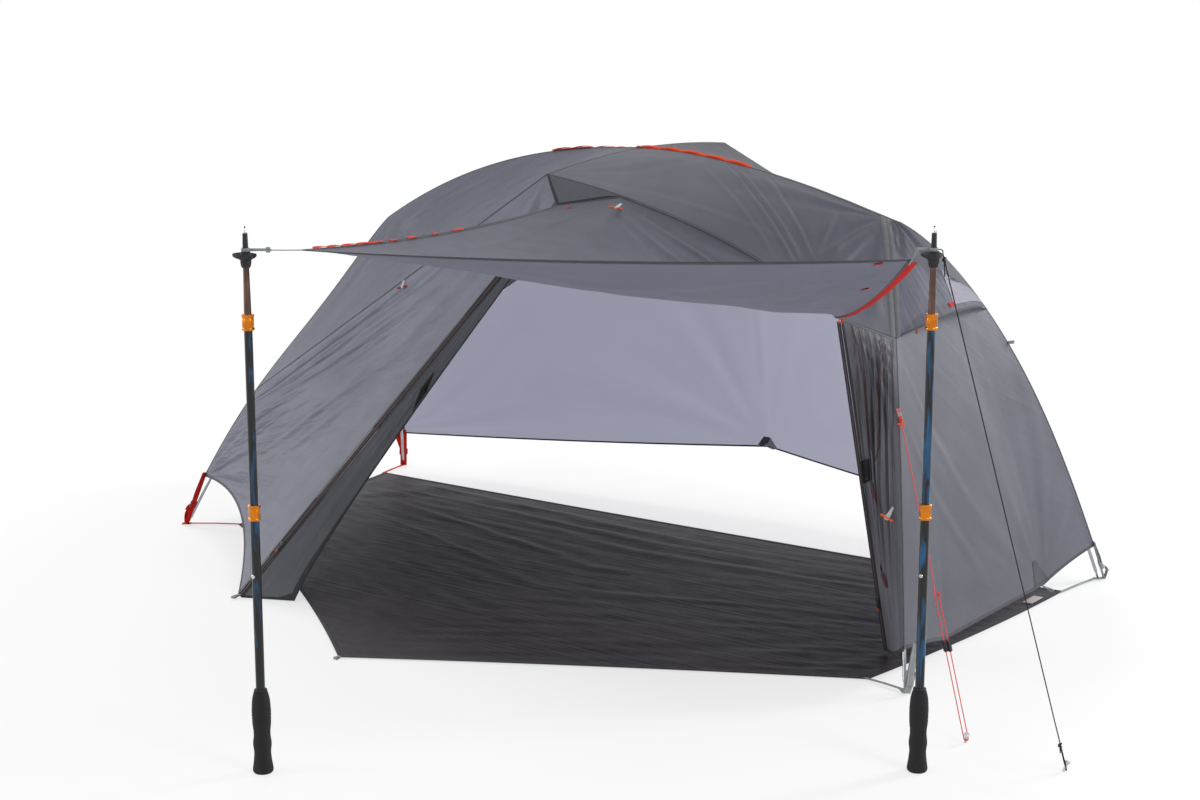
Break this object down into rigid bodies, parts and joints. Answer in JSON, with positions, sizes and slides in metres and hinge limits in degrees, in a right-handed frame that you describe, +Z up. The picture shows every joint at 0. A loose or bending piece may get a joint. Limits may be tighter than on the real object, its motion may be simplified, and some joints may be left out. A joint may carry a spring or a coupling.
{
  "type": "backpacking tent",
  "caption": "Low hubbed backpacking tent pitched as fly and footprint, its door stretched out as an awning on two trekking poles.",
  "frame": {"origin": "on the ground at the footprint's underside, below the middle of the ridge", "axes": "+X runs along the ridge to the head end with the vent hood, -Y points to the door and its awning, +Z is up"},
  "size_m": [2.8816, 2.3391, 1.1292],
  "materials": {
    "shell fabric": "charcoal coated ripstop nylon, satin",
    "translucent fabric": "grey translucent ripstop nylon, satin",
    "ground fabric": "dark coated ripstop polyester, low gloss",
    "head webbing": "light grey woven webbing",
    "foot webbing": "red woven webbing",
    "trim webbing": "orange woven webbing",
    "zip coil": "brown nylon coil on woven tape",
    "pole alloy": "satin anodised tube",
    "black plastic": "black moulded acetal",
    "grey plastic": "grey moulded acetal",
    "red plastic": "red moulded acetal",
    "toggle plastic": "orange moulded bar on grey elastic",
    "slider metal": "plated zip slider",
    "grip foam": "black closed-cell foam",
    "blue shaft": "blue and black anodised tube",
    "bronze shaft": "bronze brown anodised tube with a steel point",
    "lock metal": "orange anodised twist collar",
    "stud metal": "bright steel",
    "red cord": "red woven reflective cord",
    "black cord": "black woven cord"
  },
  "bodies": {
    "tent": {"awning": "shell fabric", "awning_webbing": "trim webbing", "brow_gusset": "shell fabric", "brow_pole": "pole alloy", "door_side_panel": "translucent fabric", "door_storm_flap": "translucent fabric", "fly_far_panel": "translucent fabric", "fly_foot_panel": "translucent fabric", "fly_foot_wall": "translucent fabric", "fly_head_wall": "shell fabric", "fly_near_panel": "shell fabric", "fly_vestibule_panel": "translucent fabric", "foot_far_webbing": "foot webbing", "foot_hub": "black plastic", "foot_leg_far": "pole alloy", "foot_leg_near": "pole alloy", "foot_near_webbing": "foot webbing", "footprint": "ground fabric", "head_far_webbing": "head webbing", "head_hub": "black plastic", "head_leg_far": "pole alloy", "head_leg_near": "pole alloy", "head_near_webbing": "head webbing", "left_awning_loop": "head webbing", "left_grip": "grip foam", "left_handle_shaft": "blue shaft", "left_stud": "stud metal", "left_zip": "zip coil", "pole_guyline": "black cord", "pole_stake": "pole alloy", "ridge_pole": "pole alloy", "ridge_webbing": "trim webbing", "right_awning_loop": "head webbing", "right_grip": "grip foam", "right_handle_shaft": "blue shaft", "right_stud": "stud metal", "right_zip": "zip coil", "vent_hood": "shell fabric", "wall_guyline": "red cord", "wall_stake": "pole alloy"},
    "left_lower_collar": {"left_lower_lock": "lock metal"},
    "left_middle": {"left_middle_shaft": "blue shaft"},
    "left_upper_collar": {"left_upper_lock": "lock metal"},
    "left_tip": {"left_tip_section": "bronze shaft", "left_basket": "black plastic"},
    "right_lower_collar": {"right_lower_lock": "lock metal"},
    "right_middle": {"right_middle_shaft": "blue shaft"},
    "right_upper_collar": {"right_upper_lock": "lock metal"},
    "right_tip": {"right_tip_section": "bronze shaft", "right_basket": "black plastic"},
    "left_zip_slider": {"left_slider": "slider metal"},
    "right_zip_slider": {"right_slider": "slider metal"},
    "crease_toggle_body": {"crease_toggle": "toggle plastic"},
    "header_toggle_body": {"header_toggle": "toggle plastic"},
    "side_toggle_body": {"side_toggle": "toggle plastic"},
    "wall_tensioner_body": {"wall_tensioner": "black plastic"},
    "head_near_ladderlock": {"head_near_adjuster": "grey plastic"},
    "head_far_ladderlock": {"head_far_adjuster": "grey plastic"},
    "foot_near_ladderlock": {"foot_near_adjuster": "red plastic"},
    "foot_far_ladderlock": {"foot_far_adjuster": "red plastic"}
  },
  "joints": [
    {"name": "left_lower_twist", "type": "hinge", "parent": "tent", "child": "left_lower_collar", "pos_m": [0.378, -1.713, 0.5145], "axis": [0, 0, 1], "range_deg": [0, 120]},
    {"name": "left_middle_slide", "type": "slide", "parent": "tent", "child": "left_middle", "axis": [0, 0, 1], "range_m": [-0.33, 0]},
    {"name": "left_upper_twist", "type": "hinge", "parent": "left_middle", "child": "left_upper_collar", "pos_m": [0.378, -1.713, 0.8865], "axis": [0, 0, 1], "range_deg": [0, 120]},
    {"name": "left_tip_slide", "type": "slide", "parent": "left_middle", "child": "left_tip", "axis": [0, 0, 1], "range_m": [-0.085, 0]},
    {"name": "right_lower_twist", "type": "hinge", "parent": "tent", "child": "right_lower_collar", "pos_m": [1.424, -0.945, 0.5145], "axis": [0, 0, 1], "range_deg": [0, 120]},
    {"name": "right_middle_slide", "type": "slide", "parent": "tent", "child": "right_middle", "axis": [0, 0, 1], "range_m": [-0.33, 0]},
    {"name": "right_upper_twist", "type": "hinge", "parent": "right_middle", "child": "right_upper_collar", "pos_m": [1.424, -0.945, 0.8865], "axis": [0, 0, 1], "range_deg": [0, 120]},
    {"name": "right_tip_slide", "type": "slide", "parent": "right_middle", "child": "right_tip", "axis": [0, 0, 1], "range_m": [-0.085, 0]},
    {"name": "left_zip_run", "type": "slide", "parent": "tent", "child": "left_zip_slider", "axis": [-0.5281, -0.3464, -0.7753], "range_m": [-1.02, 0.136]},
    {"name": "right_zip_run", "type": "slide", "parent": "tent", "child": "right_zip_slider", "axis": [0.15, 0.063, -0.9867], "range_m": [-0.607, 0.083]},
    {"name": "crease_toggle_swing", "type": "hinge", "parent": "tent", "child": "crease_toggle_body", "pos_m": [-0.42253, -0.36751, 0.76917], "axis": [-0.7781, -0.013, -0.628], "range_deg": [0, 80]},
    {"name": "header_toggle_swing", "type": "hinge", "parent": "tent", "child": "header_toggle_body", "pos_m": [0.33725, -0.43497, 1.02367], "axis": [-0.9274, -0.348, 0.1376], "range_deg": [0, 80]},
    {"name": "side_toggle_swing", "type": "hinge", "parent": "tent", "child": "side_toggle_body", "pos_m": [1.08204, -0.41964, 0.37998], "axis": [-0.7572, 0.537, -0.3718], "range_deg": [0, 80]},
    {"name": "wall_tensioner_slide", "type": "slide", "parent": "tent", "child": "wall_tensioner_body", "axis": [0.4815, -0.5093, -0.7133], "range_m": [-0.1, 0.14]},
    {"name": "head_near_tighten", "type": "slide", "parent": "tent", "child": "head_near_ladderlock", "axis": [-0.229, 0.2402, 0.9433], "range_m": [-0.012, 0.02]},
    {"name": "head_far_tighten", "type": "slide", "parent": "tent", "child": "head_far_ladderlock", "axis": [-0.229, -0.2402, 0.9433], "range_m": [-0.012, 0.02]},
    {"name": "foot_near_tighten", "type": "slide", "parent": "tent", "child": "foot_near_ladderlock", "axis": [0.307, 0.3222, 0.8955], "range_m": [-0.012, 0.02]},
    {"name": "foot_far_tighten", "type": "slide", "parent": "tent", "child": "foot_far_ladderlock", "axis": [0.3079, -0.3099, 0.8995], "range_m": [-0.012, 0.02]}
  ]
}
